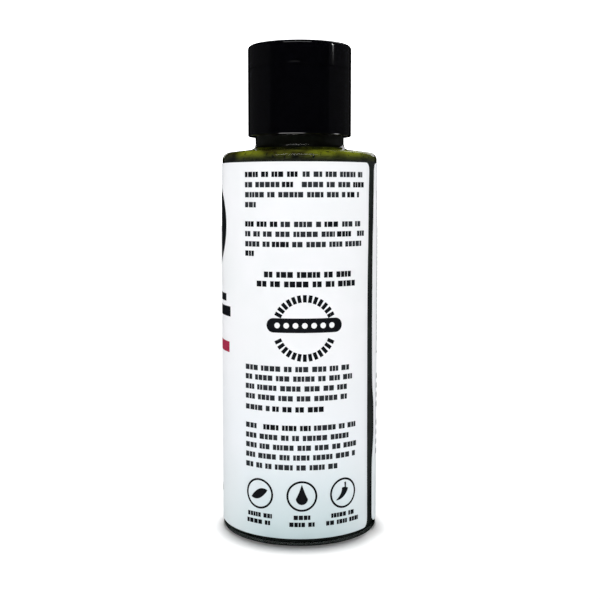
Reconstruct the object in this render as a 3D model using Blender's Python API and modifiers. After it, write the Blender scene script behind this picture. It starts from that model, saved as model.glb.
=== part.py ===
"""A hot sauce bottle: a clear round bottle full of green sauce, shut by a black
flip-top cap and wrapped in a paper label.

Metres, +Z up. The origin is the centre of the base, on the surface that the
bottle stands on, and the middle of the label's ingredients panel faces -Y.
An azimuth is an angle about +Z from -Y towards +X.
"""

import math

import bmesh
import bpy
from mathutils import Matrix, Vector

MM = 0.001

# Bottle, outside
BODY_RADIUS = 24.25 * MM
SHOULDER_TOP = 118.9 * MM
SHOULDER_SLOPE = math.radians(7.0)
SHOULDER_EDGE_RADIUS = 2.3 * MM
HEEL_RADIUS = 0.8 * MM
STAND_RING_INNER = 19.0 * MM
PUSH_UP_HEIGHT = 1.5 * MM
NECK_RADIUS = 13.9 * MM
NECK_FILLET = 1.0 * MM
MOUTH_HEIGHT = 139.5 * MM
LIP_RADIUS = 0.3 * MM
WALL = 1.0 * MM
INNER_HEEL_RADIUS = 1.8 * MM

# Sauce, which fills the bottle to a level that the cap hides
SAUCE_LEVEL = 125.2 * MM
SAUCE_GAP = 0.2 * MM

# Flip-top cap, moulded in one piece and shut
CAP_RADIUS = 16.15 * MM
CAP_BOTTOM = 123.1 * MM
CAP_HEIGHT = 28.0 * MM
CAP_TOP_EDGE = 1.2 * MM
CAP_RIM_EDGE = 0.35 * MM
SKIRT_BORE = 14.3 * MM
MOUTH_CLEARANCE = 0.3 * MM
LID_HEIGHT = 7.5 * MM
SEAM_WIDTH = 0.4 * MM
SEAM_DEPTH = 0.6 * MM
THUMB_AZIMUTH = math.radians(-4.5)
THUMB_WIDTH = 6.4 * MM
THUMB_HEIGHT = 1.8 * MM
THUMB_DEPTH = 0.9 * MM
THUMB_FLOOR = -0.1 * MM
HINGE_AZIMUTH = THUMB_AZIMUTH + math.pi
HINGE_WIDTH = 5.0 * MM
SLOT_WIDTH = 3.0 * MM
SLOT_HEIGHT = 5.0 * MM
SLOT_DEPTH = 1.0 * MM
STRAP_HEIGHT = 2.5 * MM
STRAP_DEPTH = 2.0 * MM
STRAP_OVERLAP = 0.2 * MM
STRAP_SET_BACK = 0.15 * MM

# Label, a strip whose two ends leave a gap
LABEL_GAP = 0.2 * MM
LABEL_THICKNESS = 0.15 * MM
LABEL_TOP = 114.7 * MM
LABEL_BOTTOM = 2.4 * MM
LABEL_CORNER = 2.0 * MM
LABEL_END_AZIMUTH = math.radians(60.5)
LABEL_START_AZIMUTH = math.radians(69.5)

# How finely round shapes are divided
SEGMENTS = 64
ARC_STEPS = 4
SMALL_ARC_STEPS = 2
MERGE_DISTANCE = 0.01 * MM
SMOOTH_ANGLE = math.radians(35)


def clear_scene():
    for obj in list(bpy.data.objects):
        bpy.data.objects.remove(obj, do_unlink=True)


def new_collection(name):
    collection = bpy.data.collections.new(name)
    bpy.context.scene.collection.children.link(collection)
    return collection


def add_material(obj, name, color, roughness, alpha=1.0):
    material = bpy.data.materials.new(name)
    material.use_nodes = True
    shader = material.node_tree.nodes["Principled BSDF"]
    shader.inputs["Base Color"].default_value = (*color, 1.0)
    shader.inputs["Roughness"].default_value = roughness
    shader.inputs["Metallic"].default_value = 0.0
    shader.inputs["Alpha"].default_value = alpha
    obj.data.materials.append(material)


def add_object(name, mesh, collection):
    obj = bpy.data.objects.new(name, mesh)
    collection.objects.link(obj)
    return obj


def arc(center_r, center_z, radius, start_deg, end_deg, steps=ARC_STEPS):
    """Points (r, z) of a round corner, its angles counted from +r towards +z."""
    points = []
    for step in range(steps + 1):
        angle = math.radians(start_deg + (end_deg - start_deg) * step / steps)
        points.append((center_r + radius * math.cos(angle),
                       center_z + radius * math.sin(angle)))
    return points


def lathe(name, profile, collection):
    """A closed solid turned from (r, z) points whose outer side runs downwards."""
    mesh = bpy.data.meshes.new(name)
    vertices = [(r, 0.0, z) for r, z in profile]
    edges = [(i, i + 1) for i in range(len(profile) - 1)]
    mesh.from_pydata(vertices, edges, [])
    obj = add_object(name, mesh, collection)
    screw = obj.modifiers.new("Turn", "SCREW")
    screw.axis = "Z"
    screw.angle = math.tau
    screw.steps = SEGMENTS
    screw.render_steps = SEGMENTS
    screw.use_merge_vertices = True
    screw.merge_threshold = MERGE_DISTANCE
    screw.use_smooth_shade = True
    return obj


def combine(obj, operation, tool):
    """Cuts a hidden tool's shape out of a solid, or joins it on."""
    tool.hide_render = True
    tool.display_type = "WIRE"
    boolean = obj.modifiers.new(tool.name, "BOOLEAN")
    boolean.operation = operation
    boolean.solver = "EXACT"
    boolean.object = tool


def around(azimuth, radius, height):
    """The point at an azimuth and a distance from the bottle's axis."""
    return Vector((radius * math.sin(azimuth), -radius * math.cos(azimuth), height))


def dome(rise):
    """The pushed-up base from its middle to the standing ring, raised by rise."""
    ball = (STAND_RING_INNER**2 + PUSH_UP_HEIGHT**2) / (2 * PUSH_UP_HEIGHT)
    half = math.degrees(math.asin(STAND_RING_INNER / ball))
    points = arc(0.0, PUSH_UP_HEIGHT + rise - ball, ball, 90, 90 - half)
    return [(0.0, points[0][1])] + points[1:]


def shoulder_and_neck(inset):
    """The wall from the neck down to the straight side, moved inwards by inset."""
    slope = math.degrees(SHOULDER_SLOPE)
    fillet = NECK_FILLET + inset
    fillet_r = NECK_RADIUS + NECK_FILLET
    fillet_z = SHOULDER_TOP + NECK_FILLET
    edge = SHOULDER_EDGE_RADIUS - inset
    edge_r = BODY_RADIUS - SHOULDER_EDGE_RADIUS
    fall = (edge_r - fillet_r) * math.tan(SHOULDER_SLOPE)
    edge_z = SHOULDER_TOP - fall - SHOULDER_EDGE_RADIUS
    return (arc(fillet_r, fillet_z, fillet, 180, 270 - slope)
            + arc(edge_r, edge_z, edge, 90 - slope, 0))


def cavity_profile(inset, neck_top):
    """The bottle's inside, from the middle of its floor up to the neck."""
    corner = INNER_HEEL_RADIUS - (inset - WALL)
    corner_r = BODY_RADIUS - WALL - INNER_HEEL_RADIUS
    corner_z = WALL + INNER_HEEL_RADIUS
    heel = arc(corner_r, corner_z, corner, 270, 360)
    wall = list(reversed(shoulder_and_neck(inset)))
    return dome(inset) + heel + wall + [(NECK_RADIUS - inset, neck_top)]


def make_bottle(collection):
    lip_z = MOUTH_HEIGHT - LIP_RADIUS
    bore = NECK_RADIUS - WALL
    inside = cavity_profile(WALL, lip_z)
    lip = (arc(bore + LIP_RADIUS, lip_z, LIP_RADIUS, 180, 90, SMALL_ARC_STEPS)[1:]
           + arc(NECK_RADIUS - LIP_RADIUS, lip_z, LIP_RADIUS, 90, 0, SMALL_ARC_STEPS))
    heel = arc(BODY_RADIUS - HEEL_RADIUS, HEEL_RADIUS, HEEL_RADIUS, 0, -90)
    outside = shoulder_and_neck(0.0) + heel + list(reversed(dome(0.0)))
    bottle = lathe("bottle", inside + lip + outside, collection)
    add_material(bottle, "clear bottle", (0.80, 0.84, 0.80), 0.05, alpha=0.30)
    return bottle


def make_sauce(collection):
    """The sauce keeps a fine gap to the inside of the bottle."""
    cavity = cavity_profile(WALL + SAUCE_GAP, SAUCE_LEVEL)
    sauce = lathe("sauce", list(reversed(cavity + [(0.0, SAUCE_LEVEL)])), collection)
    add_material(sauce, "green sauce", (0.10, 0.11, 0.02), 0.35)
    return sauce


def make_cap(collection, cutters):
    top = CAP_BOTTOM + CAP_HEIGHT
    seam = top - LID_HEIGHT
    deck = MOUTH_HEIGHT + MOUTH_CLEARANCE
    edge_r = CAP_RADIUS - CAP_TOP_EDGE
    rim_z = CAP_BOTTOM + CAP_RIM_EDGE
    groove_r = CAP_RADIUS - SEAM_DEPTH
    profile = [(0.0, top)] + arc(edge_r, top - CAP_TOP_EDGE, CAP_TOP_EDGE, 90, 0)
    seam_top = seam + SEAM_WIDTH / 2
    seam_bottom = seam - SEAM_WIDTH / 2
    profile += [(CAP_RADIUS, seam_top), (groove_r, seam_top)]
    profile += [(groove_r, seam_bottom), (CAP_RADIUS, seam_bottom)]
    profile += arc(CAP_RADIUS - CAP_RIM_EDGE, rim_z, CAP_RIM_EDGE, 0, -90, SMALL_ARC_STEPS)
    profile += arc(SKIRT_BORE + CAP_RIM_EDGE, rim_z, CAP_RIM_EDGE, 270, 180, SMALL_ARC_STEPS)
    profile += [(SKIRT_BORE, deck), (0.0, deck)]
    cap = lathe("cap", profile, collection)
    combine(cap, "DIFFERENCE", make_thumb_grip(seam, cutters))
    combine(cap, "UNION", make_strap(seam, cutters))
    for name, side in (("slot_left", -1), ("slot_right", 1)):
        combine(cap, "DIFFERENCE", make_slot(name, side, seam, cutters))
    add_material(cap, "black plastic", (0.008, 0.008, 0.010), 0.16)
    return cap


def make_thumb_grip(seam, cutters):
    """The upper half of a flattened ball, which hollows the lid's lower edge."""
    mesh = bpy.data.meshes.new("thumb_grip")
    bm = bmesh.new()
    bmesh.ops.create_uvsphere(bm, u_segments=20, v_segments=12, radius=1.0)
    size = (THUMB_WIDTH / 2, THUMB_DEPTH, THUMB_HEIGHT)
    bmesh.ops.scale(bm, vec=size, verts=bm.verts)
    whole = bm.verts[:] + bm.edges[:] + bm.faces[:]
    section = bmesh.ops.bisect_plane(bm, geom=whole, plane_co=(0.0, 0.0, THUMB_FLOOR),
                                     plane_no=(0.0, 0.0, 1.0), clear_inner=True)
    rim = [item for item in section["geom_cut"] if isinstance(item, bmesh.types.BMEdge)]
    bmesh.ops.holes_fill(bm, edges=rim)
    bmesh.ops.recalc_face_normals(bm, faces=bm.faces)
    bm.to_mesh(mesh)
    bm.free()
    grip = add_object("thumb_grip", mesh, cutters)
    grip.location = around(THUMB_AZIMUTH, CAP_RADIUS, seam)
    grip.rotation_euler = (0.0, 0.0, THUMB_AZIMUTH)
    return grip


def make_box(name, size, center, collection):
    """A box of a width, depth and height, turned with its centre to the hinge."""
    mesh = bpy.data.meshes.new(name)
    bm = bmesh.new()
    bmesh.ops.create_cube(bm, size=1.0)
    bmesh.ops.scale(bm, vec=size, verts=bm.verts)
    bmesh.ops.translate(bm, vec=center, verts=bm.verts)
    bmesh.ops.rotate(bm, matrix=Matrix.Rotation(HINGE_AZIMUTH, 3, "Z"), verts=bm.verts)
    bm.to_mesh(mesh)
    bm.free()
    return add_object(name, mesh, collection)


def make_strap(seam, cutters):
    """The strap at the back that carries the lid across the seam."""
    center = (0.0, -(CAP_RADIUS - STRAP_SET_BACK - STRAP_DEPTH / 2), seam)
    size = (HINGE_WIDTH + 2 * STRAP_OVERLAP, STRAP_DEPTH, STRAP_HEIGHT)
    return make_box("hinge_strap", size, center, cutters)


def make_slot(name, side, seam, cutters):
    """A slot beside the strap, open outwards."""
    center = (side * (HINGE_WIDTH + SLOT_WIDTH) / 2, -CAP_RADIUS, seam)
    return make_box(name, (SLOT_WIDTH, 2 * SLOT_DEPTH, SLOT_HEIGHT), center, cutters)


def make_label(collection):
    """A strip bent round the bottle, with a round corner at each end."""
    radius = BODY_RADIUS + LABEL_GAP
    span = math.tau - (LABEL_START_AZIMUTH - LABEL_END_AZIMUTH)
    length = span * radius
    half_height = (LABEL_TOP - LABEL_BOTTOM) / 2
    middle = (LABEL_TOP + LABEL_BOTTOM) / 2
    corner = [LABEL_CORNER * (1 - math.cos(math.radians(90 * i / ARC_STEPS)))
              for i in range(ARC_STEPS + 1)]
    inner = [LABEL_CORNER + (length - 2 * LABEL_CORNER) * i / SEGMENTS
             for i in range(1, SEGMENTS)]
    columns = corner + inner + [length - d for d in reversed(corner)]

    mesh = bpy.data.meshes.new("label")
    bm = bmesh.new()
    bmesh.ops.create_grid(bm, x_segments=len(columns) - 1, y_segments=1, size=1.0)
    for vertex in bm.verts:
        index = round((vertex.co.x + 1) / 2 * (len(columns) - 1))
        along = columns[index]
        from_end = min(along, length - along, LABEL_CORNER)
        inset = LABEL_CORNER - math.sqrt(
            max(LABEL_CORNER**2 - (LABEL_CORNER - from_end) ** 2, 0.0))
        height = middle + math.copysign(half_height - inset, vertex.co.y)
        vertex.co = around(LABEL_START_AZIMUTH + along / radius, radius, height)
    bmesh.ops.recalc_face_normals(bm, faces=bm.faces)
    bm.to_mesh(mesh)
    bm.free()
    label = add_object("label", mesh, collection)
    solidify = label.modifiers.new("Paper", "SOLIDIFY")
    solidify.thickness = LABEL_THICKNESS
    solidify.offset = 1.0
    add_material(label, "label paper", (0.88, 0.90, 0.91), 0.45)
    return label


def shade(obj):
    obj.data.shade_smooth()
    if obj.data.polygons:
        obj.data.set_sharp_from_angle(angle=SMOOTH_ANGLE)


def main():
    clear_scene()
    parts = new_collection("hot_sauce_bottle")
    cutters = new_collection("hot_sauce_bottle_cutters")
    for piece in (make_bottle(parts), make_sauce(parts), make_cap(parts, cutters), make_label(parts)):
        shade(piece)


main()
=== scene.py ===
# %% [markdown]
# # A bottle of green hot sauce, dressed round its CAD solids
#
# The CAD model has four solids: the clear bottle, the sauce in it, the black flip-top cap and the
# label. They are right in size and plain in looks. This script keeps every size and replaces each
# solid with a finer piece, so that it can have real edges, real print and real materials.
# We start by loading those solids as a frame that nothing below may move.

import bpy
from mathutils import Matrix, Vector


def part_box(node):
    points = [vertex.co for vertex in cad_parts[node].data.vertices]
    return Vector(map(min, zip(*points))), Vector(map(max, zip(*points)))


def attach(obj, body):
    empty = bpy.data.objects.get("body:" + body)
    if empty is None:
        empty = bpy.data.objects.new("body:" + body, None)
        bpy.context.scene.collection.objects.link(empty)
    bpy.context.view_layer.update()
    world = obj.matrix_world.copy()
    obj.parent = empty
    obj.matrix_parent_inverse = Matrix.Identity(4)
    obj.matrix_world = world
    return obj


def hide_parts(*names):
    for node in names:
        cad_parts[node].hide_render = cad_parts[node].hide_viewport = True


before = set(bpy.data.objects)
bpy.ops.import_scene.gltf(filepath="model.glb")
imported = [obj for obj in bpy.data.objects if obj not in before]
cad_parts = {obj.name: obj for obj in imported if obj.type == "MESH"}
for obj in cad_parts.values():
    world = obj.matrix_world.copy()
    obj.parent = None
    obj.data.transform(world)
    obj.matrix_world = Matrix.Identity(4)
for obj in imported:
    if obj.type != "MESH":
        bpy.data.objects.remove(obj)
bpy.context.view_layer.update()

# %% [markdown]
# ## Sizes
#
# Everything is in metres. Outer sizes are read from the frame, so the looks can't drift away from
# the solids. What the frame's boxes can't tell, such as a wall or a fine gap, is named here once.
# An azimuth is an angle about +Z from -Y, where the camera stands, towards +X.

# %% Sizes from the frame
import math
import random

import bmesh
import bpy
from mathutils import Vector

MM = 0.001


def outer_size(node):
    """The radius, bottom and top of a round node."""
    low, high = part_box(node)
    return (high.y - low.y) / 2, low.z, high.z


BODY_RADIUS, _, MOUTH_HEIGHT = outer_size("bottle")
CAP_RADIUS, CAP_BOTTOM, CAP_TOP = outer_size("cap")
LABEL_RADIUS, LABEL_BOTTOM, LABEL_TOP = outer_size("label")
SAUCE_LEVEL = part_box("sauce")[1].z
print("body radius", round(BODY_RADIUS / MM, 2), "cap radius", round(CAP_RADIUS / MM, 2))
print("label from", round(LABEL_BOTTOM / MM, 2), "to", round(LABEL_TOP / MM, 2))

# %% [markdown]
# ## The camera
#
# The photograph was taken from close by, at about the height of the bottle's shoulder, and then
# cropped off-centre: straight sides stay parallel, the base is seen from well above, and the cap
# from just below. A raised camera that looks slightly down, with a small shift, comes close to
# that and keeps the bottle whole in every other view.

# %% Set up the camera
CAMERA_DISTANCE = 0.316
CAMERA_HEIGHT = 0.1054
CAMERA_SIDE = 0.00013
CAMERA_PITCH = math.radians(4.38)
CAMERA_LENS = 59.93
CAMERA_SHIFT = -0.05

camera = bpy.data.objects.new("camera", bpy.data.cameras.new("camera"))
bpy.context.scene.collection.objects.link(camera)
camera.location = (CAMERA_SIDE, -CAMERA_DISTANCE, CAMERA_HEIGHT)
camera.rotation_euler = (math.pi / 2 - CAMERA_PITCH, 0.0, 0.0)
camera.data.lens = CAMERA_LENS
camera.data.shift_y = CAMERA_SHIFT
camera.data.clip_start = 0.01
bpy.context.scene.camera = camera
print("camera at", tuple(round(v, 4) for v in camera.location))

# %% [markdown]
# ## Helpers for shapes
#
# Bottle, sauce and cap are round, so each is a profile turned with a Screw modifier, as on a
# lathe. The profile must run down its outer side, so that the faces point outwards. `settle`
# turns an object with modifiers into a plain mesh, because the frame wants finished pieces.

# %% Lathe helpers
TURN_STEPS = 160
ARC_STEPS = 8
MERGE_DISTANCE = 0.002 * MM
SHARP_ANGLE = math.radians(40)
HOLD = 0.15 * MM
LONG_STRETCH = 6 * HOLD


def arc(center_r, center_z, radius, start_deg, end_deg, steps=ARC_STEPS):
    """Points (r, z) of a round corner, its angles counted from +r towards +z."""
    points = []
    for step in range(steps + 1):
        angle = math.radians(start_deg + (end_deg - start_deg) * step / steps)
        points.append((center_r + radius * math.cos(angle),
                       center_z + radius * math.sin(angle)))
    return points


def add_object(name, data):
    """A new object in the scene."""
    obj = bpy.data.objects.new(name, data)
    bpy.context.scene.collection.objects.link(obj)
    return obj


def object_from(name, bm):
    """An object made of a finished bmesh."""
    mesh = bpy.data.meshes.new(name)
    bm.to_mesh(mesh)
    bm.free()
    return add_object(name, mesh)


def settle(obj, material=None):
    """Replaces an object by a plain mesh of what its modifiers make."""
    depsgraph = bpy.context.evaluated_depsgraph_get()
    mesh = bpy.data.meshes.new_from_object(obj.evaluated_get(depsgraph))
    name = obj.name
    bpy.data.objects.remove(obj, do_unlink=True)
    mesh.name = name
    settled = add_object(name, mesh)
    if material:
        mesh.materials.clear()
        mesh.materials.append(material)
    mesh.shade_smooth()
    mesh.set_sharp_from_angle(angle=SHARP_ANGLE)
    print(name, "has", len(mesh.polygons), "faces")
    return settled


def hold_straights(profile):
    """Adds a point near both ends of each long stretch, which keeps its shading straight."""
    held = [profile[0]]
    for (r0, z0), (r1, z1) in zip(profile, profile[1:]):
        length = math.hypot(r1 - r0, z1 - z0)
        if length > LONG_STRETCH:
            for share in (HOLD / length, 1 - HOLD / length):
                held.append((r0 + (r1 - r0) * share, z0 + (z1 - z0) * share))
        held.append((r1, z1))
    return held


def lathe(name, profile):
    """Turns (r, z) points, whose outer side runs downwards, about the Z axis."""
    held = hold_straights(profile)
    edges = [(i, i + 1) for i in range(len(held) - 1)]
    if profile[0] == profile[-1]:
        held.pop()
        edges[-1] = (len(held) - 1, 0)
    mesh = bpy.data.meshes.new(name)
    mesh.from_pydata([(r, 0.0, z) for r, z in held], edges, [])
    obj = add_object(name, mesh)
    screw = obj.modifiers.new("Turn", "SCREW")
    screw.steps = TURN_STEPS
    screw.render_steps = TURN_STEPS
    screw.use_merge_vertices = True
    screw.merge_threshold = MERGE_DISTANCE
    return obj


def wear(piece, node=None):
    """A finished piece rides with the bottle, and may stand for a CAD node."""
    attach(piece, "root")
    if node:
        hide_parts(node)
    return piece


print("the lathe turns in", TURN_STEPS, "steps")

# %% [markdown]
# ## Helpers for materials and node trees
#
# Every finish is a Principled shader whose colour and roughness come from noise. The noise reads
# Object coordinates, in metres, so a scale of 1000 gives about one spot a millimetre, and the
# pattern stays put from every side. The same helpers build the geometry trees further down.

# %% Node helpers
# The Mix node has sockets for several kinds of value. These are the ones for colours.
MIX_FIRST, MIX_SECOND, MIX_RESULT = 6, 7, 2


def new_material(name):
    """A material with its tree, its Principled shader and Object coordinates."""
    material = bpy.data.materials.new(name)
    material.use_nodes = True
    tree = material.node_tree
    shader = tree.nodes["Principled BSDF"]
    place = tree.nodes.new("ShaderNodeTexCoord").outputs["Object"]
    return material, tree, shader, place


def feed(tree, node, values):
    """Gives each socket, found by name or number, another socket's value or a fixed one."""
    for socket, value in values.items():
        if isinstance(value, bpy.types.NodeSocket):
            tree.links.new(value, node.inputs[socket])
        else:
            node.inputs[socket].default_value = value


def add_node(tree, kind, values, **settings):
    """A new node with its settings made and its sockets fed."""
    node = tree.nodes.new(kind)
    for name, setting in settings.items():
        setattr(node, name, setting)
    feed(tree, node, values)
    return node


def math_node(tree, operation, *values):
    """One sum. Each value is a socket or a number."""
    node = add_node(tree, "ShaderNodeMath", dict(enumerate(values)), operation=operation)
    return node.outputs[0]


def split(tree, vector):
    """The X, Y and Z of a vector."""
    return add_node(tree, "ShaderNodeSeparateXYZ", {0: vector}).outputs


def combine(tree, x, y, z):
    """A vector from three values."""
    return add_node(tree, "ShaderNodeCombineXYZ", {0: x, 1: y, 2: z}).outputs[0]


def noise(tree, place, scale, detail=3.0, stretch=(1.0, 1.0, 1.0), turn=(0.0, 0.0, 0.0)):
    """Fractal noise on Object coordinates, stretched or turned if asked."""
    mapping = add_node(tree, "ShaderNodeMapping",
                       {"Vector": place, "Scale": stretch, "Rotation": turn})
    texture = add_node(tree, "ShaderNodeTexNoise",
                       {"Vector": mapping.outputs["Vector"], "Scale": scale, "Detail": detail})
    return texture.outputs["Fac"]


def remap(tree, value, from_low, from_high, to_low=0.0, to_high=1.0):
    """A straight change of range that stops at its ends."""
    node = add_node(tree, "ShaderNodeMapRange", {
        "Value": value, "From Min": from_low, "From Max": from_high,
        "To Min": to_low, "To Max": to_high})
    return node.outputs["Result"]


def mix_colors(tree, factor, first, second):
    """Mixes two colours, each a socket or three numbers."""
    values = {"Factor": factor}
    for socket, color in ((MIX_FIRST, first), (MIX_SECOND, second)):
        values[socket] = (*color, 1.0) if isinstance(color, tuple) else color
    return add_node(tree, "ShaderNodeMix", values, data_type="RGBA").outputs[MIX_RESULT]


def relief(tree, height, distance, strength):
    """Fine relief from a height pattern, its depth in metres."""
    bump = add_node(tree, "ShaderNodeBump",
                    {"Height": height, "Distance": distance, "Strength": strength})
    return bump.outputs["Normal"]


print("node helpers are ready")

# %% [markdown]
# ## The clear bottle
#
# A blow-moulded bottle has a wall of about a millimetre, a nearly flat shoulder with a tight round
# edge, a short plain neck, and a base that is pushed up in the middle so that it stands on a ring.
# The wall is a real shell here, with an inside surface, because light bends at both faces.

# %% Profile of the bottle
WALL = 1.0 * MM
SHOULDER_TOP = 118.9 * MM
SHOULDER_SLOPE = math.radians(7.0)
SHOULDER_EDGE_RADIUS = 2.3 * MM
NECK_RADIUS = 13.9 * MM
NECK_FILLET = 2.0 * MM
HEEL_RADIUS = 0.8 * MM
INNER_HEEL_RADIUS = 1.8 * MM
STAND_RING_INNER = 19.0 * MM
PUSH_UP_HEIGHT = 1.5 * MM
LIP_RADIUS = 0.3 * MM


def dome(rise):
    """The pushed-up base from its middle to the standing ring."""
    ball = (STAND_RING_INNER**2 + PUSH_UP_HEIGHT**2) / (2 * PUSH_UP_HEIGHT)
    half = math.degrees(math.asin(STAND_RING_INNER / ball))
    points = arc(0.0, PUSH_UP_HEIGHT + rise - ball, ball, 90, 90 - half)
    return [(0.0, points[0][1])] + points[1:]


def shoulder_and_neck(inset):
    """The wall from the neck down to the straight side, moved inwards."""
    slope = math.degrees(SHOULDER_SLOPE)
    fillet_r = NECK_RADIUS + NECK_FILLET
    fillet_z = SHOULDER_TOP + NECK_FILLET
    edge_r = BODY_RADIUS - SHOULDER_EDGE_RADIUS
    fall = (edge_r - fillet_r) * math.tan(SHOULDER_SLOPE)
    edge_z = SHOULDER_TOP - fall - SHOULDER_EDGE_RADIUS
    return (arc(fillet_r, fillet_z, NECK_FILLET + inset, 180, 270 - slope)
            + arc(edge_r, edge_z, SHOULDER_EDGE_RADIUS - inset, 90 - slope, 0))


def cavity(inset, neck_top):
    """The inside of the bottle, from the middle of its floor up the neck."""
    corner = INNER_HEEL_RADIUS - (inset - WALL)
    corner_r = BODY_RADIUS - WALL - INNER_HEEL_RADIUS
    heel = arc(corner_r, WALL + INNER_HEEL_RADIUS, corner, 270, 360)
    wall = list(reversed(shoulder_and_neck(inset)))
    return dome(inset) + heel + wall + [(NECK_RADIUS - inset, neck_top)]


lip_z = MOUTH_HEIGHT - LIP_RADIUS
lip = (arc(NECK_RADIUS - WALL + LIP_RADIUS, lip_z, LIP_RADIUS, 180, 90)[1:]
       + arc(NECK_RADIUS - LIP_RADIUS, lip_z, LIP_RADIUS, 90, 0))
heel = arc(BODY_RADIUS - HEEL_RADIUS, HEEL_RADIUS, HEEL_RADIUS, 0, -90)
outside = shoulder_and_neck(0.0) + heel + list(reversed(dome(0.0)))
bottle_profile = cavity(WALL, lip_z) + lip + outside
print("bottle profile has", len(bottle_profile), "points")

# %% [markdown]
# ### Clear plastic
#
# Clear plastic bends and mirrors light like glass, with a trace of green. At the heel one looks
# through far more plastic than elsewhere, so it gets darker there; the darkening is partly painted
# shade as well, for the dark under the bottle, which this shell casts no shadow to make. Its gloss
# isn't perfect: handling leaves it slightly uneven, so faint noise moves its roughness.

# %% Make the bottle
# The heel's darkening: partly thick plastic, partly painted shade for the dark under the bottle.
HEEL_DARK_BOTTOM = 2.2 * MM
HEEL_DARK_TOP = 3.0 * MM
HEEL_TINT_AND_SHADE = (0.15, 0.185, 0.17)
WALL_TINT = (0.86, 0.93, 0.88)


def clear_plastic():
    """The bottle's material, darker at the heel: thick plastic, and painted shade under the bottle.
    """
    material, tree, shader, place = new_material("clear plastic")
    above_heel = remap(tree, split(tree, place)["Z"], HEEL_DARK_BOTTOM, HEEL_DARK_TOP)
    uneven = noise(tree, place, 220.0)
    feed(tree, shader, {
        "Base Color": mix_colors(tree, above_heel, HEEL_TINT_AND_SHADE, WALL_TINT),
        "Roughness": remap(tree, uneven, 0.35, 0.65, 0.02, 0.07),
        "Transmission Weight": 1.0, "IOR": 1.45})
    return material


bottle = settle(lathe("clear_bottle", bottle_profile), clear_plastic())
bottle.visible_shadow = False
wear(bottle, "bottle")

# %% [markdown]
# ## The sauce
#
# Sauce wets the wall, so there is no air between the two. The piece therefore reaches a tenth of a
# millimetre into the wall, and the clear shell in front of it gives the gloss.
# The real sauce is a puree of green chillies and herbs in oil. Under the shoulder it is painted a
# bright, streaky yellow-green: painted light, for the light that comes down through the shoulder
# into the thin sauce there. The thick sauce below is nearly black, and in the neck it is painted
# darker still: painted shade under the cap.

# %% Make the sauce
WETTING = 0.1 * MM
# Painted light: between these heights, under the shoulder, the sauce is painted bright for light
# shining down into the thin sauce.
LIT_BAND_BOTTOM = 115.0 * MM
LIT_BAND_FULL = 117.0 * MM
LIT_BAND_TOP = 118.7 * MM
LIT_BAND_END = 119.3 * MM
PATCH_TURN = (1.2, 0.0, 4.264)
LIT_BAND_DARK, LIT_BAND_GREEN = (0.016, 0.013, 0.002), (0.200, 0.219, 0.012)
LIT_BAND_STREAK = (0.150, 0.160, 0.018)
FLECK = (0.012, 0.012, 0.003)
PUREE_SHADE, PUREE_LIGHT = (0.018, 0.022, 0.020), (0.030, 0.034, 0.031)
# Painted shade: the sauce in the neck is painted nearly black for the shade under the cap.
NECK_SHADE = (0.0016, 0.0018, 0.0011)


def green_sauce():
    """The sauce's material: painted light in the shoulder, dark puree below, painted shade in the
    neck.
    """
    material, tree, shader, place = new_material("green sauce")
    up = split(tree, place)["Z"]
    patches = remap(tree, noise(tree, place, 90.0, 3.0, turn=PATCH_TURN), 0.43, 0.60)
    streaks = remap(tree, noise(tree, place, 260.0, 5.0, (1.0, 1.0, 3.0)), 0.42, 0.66)
    flecks = remap(tree, noise(tree, place, 900.0, 2.0), 0.58, 0.68)
    # Painted light: the patchy, streaky bright colour of the band under the shoulder.
    lit_band = mix_colors(tree, patches, LIT_BAND_DARK, LIT_BAND_GREEN)
    lit_band = mix_colors(tree, remap(tree, streaks, 0.0, 1.0, 0.0, 0.40), lit_band, LIT_BAND_STREAK)
    lit_band = mix_colors(tree, flecks, lit_band, FLECK)
    thick = mix_colors(tree, patches, PUREE_SHADE, PUREE_LIGHT)
    # Painted shade: in the neck the thick sauce turns nearly black.
    thick = mix_colors(tree, remap(tree, up, LIT_BAND_TOP, LIT_BAND_END), thick, NECK_SHADE)
    above_foot = remap(tree, up, LIT_BAND_BOTTOM, LIT_BAND_FULL)
    below_neck = remap(tree, up, LIT_BAND_END, LIT_BAND_TOP)
    layer = math_node(tree, "MULTIPLY", above_foot, below_neck)
    feed(tree, shader, {
        "Base Color": mix_colors(tree, layer, thick, lit_band),
        "Roughness": remap(tree, streaks, 0.0, 1.0, 0.35, 0.6),
        "Specular IOR Level": 0.2, "Normal": relief(tree, streaks, 0.1 * MM, 0.4)})
    return material


sauce_profile = cavity(WALL - WETTING, SAUCE_LEVEL) + [(0.0, SAUCE_LEVEL)]
sauce = settle(lathe("green_sauce", sauce_profile), green_sauce())
sauce.data.flip_normals()
wear(sauce, "sauce")

# %% [markdown]
# ## The flip-top cap
#
# The cap is one moulding of glossy black plastic. Its lid meets the base along a hairline seam,
# with a scoop for the thumb in front and a strap hinge behind. Lid, base and the round rim at the
# base's foot are turned separately, so that each can be lit on its own. The rim is cut in two, and
# only its front half gets the low lamps, whose glare at the sides would eat into a view from behind.

# %% Profiles of the cap
SKIRT_BORE = 14.3 * MM
CAP_TOP_EDGE = 1.2 * MM
RIM_EDGE = 0.35 * MM
SEAM_EDGE = 0.12 * MM
SEAM_HALF_GAP = 0.06 * MM
LID_HEIGHT = 7.5 * MM
SEAM_DEPTH = 0.8 * MM
DECK_HEIGHT = MOUTH_HEIGHT + 0.3 * MM
seam_z = CAP_TOP - LID_HEIGHT

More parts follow.
